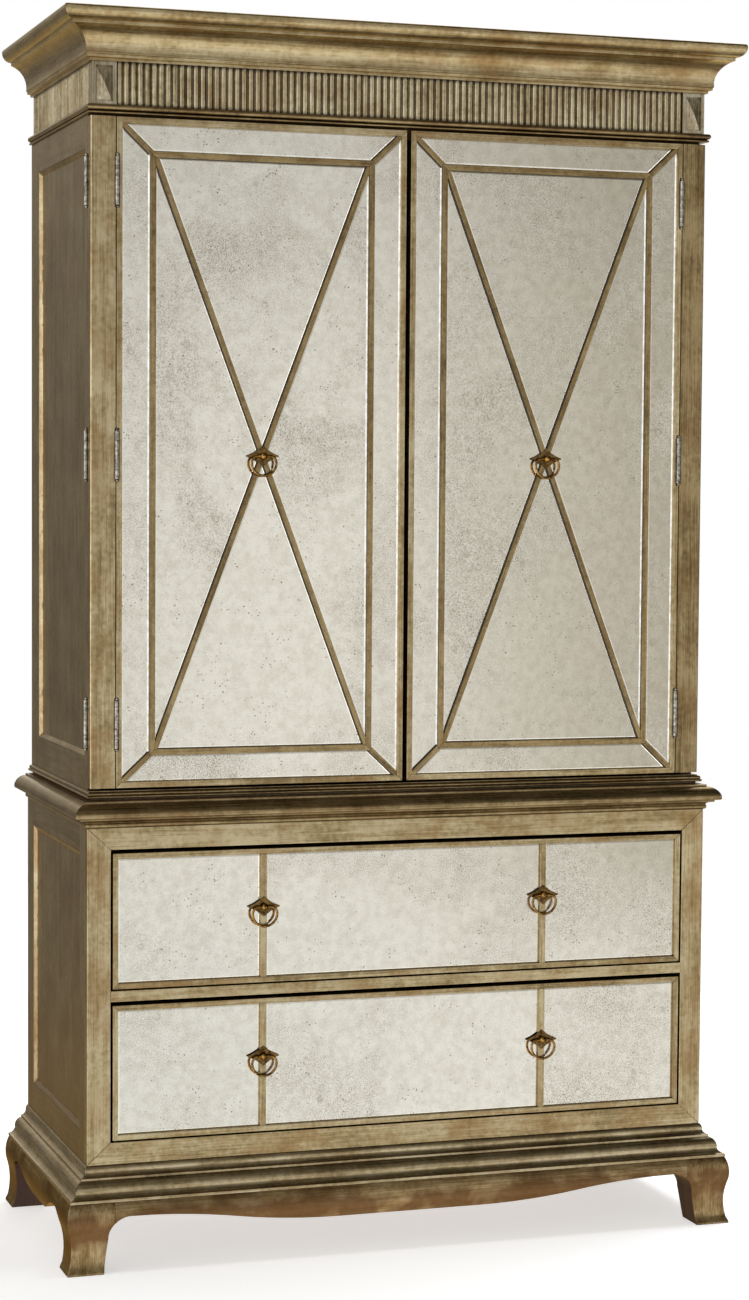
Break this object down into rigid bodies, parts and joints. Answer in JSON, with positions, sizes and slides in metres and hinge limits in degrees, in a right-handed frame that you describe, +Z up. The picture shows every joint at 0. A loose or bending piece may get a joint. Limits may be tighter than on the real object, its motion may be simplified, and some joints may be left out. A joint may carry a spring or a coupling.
{
  "type": "armoire",
  "caption": "Tall two-stage mirrored armoire: a cabinet with folding-back doors and a clothes rod on a chest of wide drawers, with ring pulls and block feet.",
  "frame": {"origin": "on the floor, under the middle of the bounding box", "axes": "+Z up, -Y to the front where the doors are, +X to the right of someone facing the doors"},
  "size_m": [1.24, 0.55, 2.134],
  "materials": {
    "champagne_wood": "champagne leaf, aged and glazed",
    "inside_wood": "stained, satin",
    "mirror_glass": "antique mirror, bevelled",
    "antique_brass": "antiqued",
    "hinge_steel": "satin",
    "rod_metal": "satin"
  },
  "bodies": {
    "case": {"aprons": "champagne_wood", "back_feet": "champagne_wood", "base_moulding": "champagne_wood", "case_hinges": "hinge_steel", "clothes_rod": "rod_metal", "cornice": "champagne_wood", "drawer_rails": "champagne_wood", "drawer_runners": "inside_wood", "face_frame": "champagne_wood", "frieze_bead": "champagne_wood", "frieze_boards": "inside_wood", "frieze_corner_blocks": "champagne_wood", "frieze_reeding": "champagne_wood", "front_feet": "champagne_wood", "hat_shelf": "inside_wood", "lower_back_panel": "inside_wood", "lower_bottom_board": "inside_wood", "lower_side_frame_left": "champagne_wood", "lower_side_frame_right": "champagne_wood", "lower_side_panels": "champagne_wood", "lower_top_board": "inside_wood", "rod_sockets": "rod_metal", "upper_back_panel": "inside_wood", "upper_base_moulding": "champagne_wood", "upper_bottom_board": "inside_wood", "upper_side_frame_left": "champagne_wood", "upper_side_frame_right": "champagne_wood", "upper_side_panels": "champagne_wood", "upper_top_board": "inside_wood", "waist_moulding": "champagne_wood"},
    "pilaster_left": {"pilaster_left": "champagne_wood", "pilaster_hinges_left": "hinge_steel"},
    "door_left": {"door_frame_left": "champagne_wood", "door_panel_left": "inside_wood", "door_lattice_left": "champagne_wood", "door_mirrors_left": "mirror_glass", "door_hinge_leaves_left": "hinge_steel", "door_pull_left": "antique_brass"},
    "door_ring_left": {"door_ring_left": "antique_brass"},
    "pilaster_right": {"pilaster_right": "champagne_wood", "pilaster_hinges_right": "hinge_steel"},
    "door_right": {"door_frame_right": "champagne_wood", "door_panel_right": "inside_wood", "door_lattice_right": "champagne_wood", "door_mirrors_right": "mirror_glass", "door_hinge_leaves_right": "hinge_steel", "door_pull_right": "antique_brass"},
    "door_ring_right": {"door_ring_right": "antique_brass"},
    "drawer_upper": {"drawer_box_upper": "inside_wood", "drawer_front_upper": "champagne_wood", "drawer_mirrors_upper": "mirror_glass", "drawer_pulls_upper": "antique_brass"},
    "drawer_ring_upper_left": {"drawer_ring_upper_left": "antique_brass"},
    "drawer_ring_upper_right": {"drawer_ring_upper_right": "antique_brass"},
    "drawer_lower": {"drawer_box_lower": "inside_wood", "drawer_front_lower": "champagne_wood", "drawer_mirrors_lower": "mirror_glass", "drawer_pulls_lower": "antique_brass"},
    "drawer_ring_lower_left": {"drawer_ring_lower_left": "antique_brass"},
    "drawer_ring_lower_right": {"drawer_ring_lower_right": "antique_brass"}
  },
  "joints": [
    {"name": "pilaster_left_swing", "type": "hinge", "parent": "case", "child": "pilaster_left", "pos_m": [-0.567, -0.195, 1.391], "axis": [0, 0, -1], "range_deg": [0, 90]},
    {"name": "door_left_swing", "type": "hinge", "parent": "pilaster_left", "child": "door_left", "pos_m": [-0.519, -0.222, 1.391], "axis": [0, 0, -1], "range_deg": [0, 170]},
    {"name": "door_ring_left_lift", "type": "hinge", "parent": "door_left", "child": "door_ring_left", "pos_m": [-0.262, -0.227, 1.3915], "axis": [-1, 0, 0], "range_deg": [0, 75]},
    {"name": "pilaster_right_swing", "type": "hinge", "parent": "case", "child": "pilaster_right", "pos_m": [0.567, -0.195, 1.391], "axis": [0, 0, 1], "range_deg": [0, 90]},
    {"name": "door_right_swing", "type": "hinge", "parent": "pilaster_right", "child": "door_right", "pos_m": [0.519, -0.222, 1.391], "axis": [0, 0, 1], "range_deg": [0, 170]},
    {"name": "door_ring_right_lift", "type": "hinge", "parent": "door_right", "child": "door_ring_right", "pos_m": [0.262, -0.227, 1.3915], "axis": [-1, 0, 0], "range_deg": [0, 75]},
    {"name": "drawer_upper_slide", "type": "slide", "parent": "case", "child": "drawer_upper", "axis": [0, -1, 0], "range_m": [0, 0.36]},
    {"name": "drawer_ring_upper_left_lift", "type": "hinge", "parent": "drawer_upper", "child": "drawer_ring_upper_left", "pos_m": [-0.26, -0.239, 0.61275], "axis": [-1, 0, 0], "range_deg": [0, 75]},
    {"name": "drawer_ring_upper_right_lift", "type": "hinge", "parent": "drawer_upper", "child": "drawer_ring_upper_right", "pos_m": [0.26, -0.239, 0.61275], "axis": [-1, 0, 0], "range_deg": [0, 75]},
    {"name": "drawer_lower_slide", "type": "slide", "parent": "case", "child": "drawer_lower", "axis": [0, -1, 0], "range_m": [0, 0.36]},
    {"name": "drawer_ring_lower_left_lift", "type": "hinge", "parent": "drawer_lower", "child": "drawer_ring_lower_left", "pos_m": [-0.26, -0.239, 0.35125], "axis": [-1, 0, 0], "range_deg": [0, 75]},
    {"name": "drawer_ring_lower_right_lift", "type": "hinge", "parent": "drawer_lower", "child": "drawer_ring_lower_right", "pos_m": [0.26, -0.239, 0.35125], "axis": [-1, 0, 0], "range_deg": [0, 75]}
  ]
}
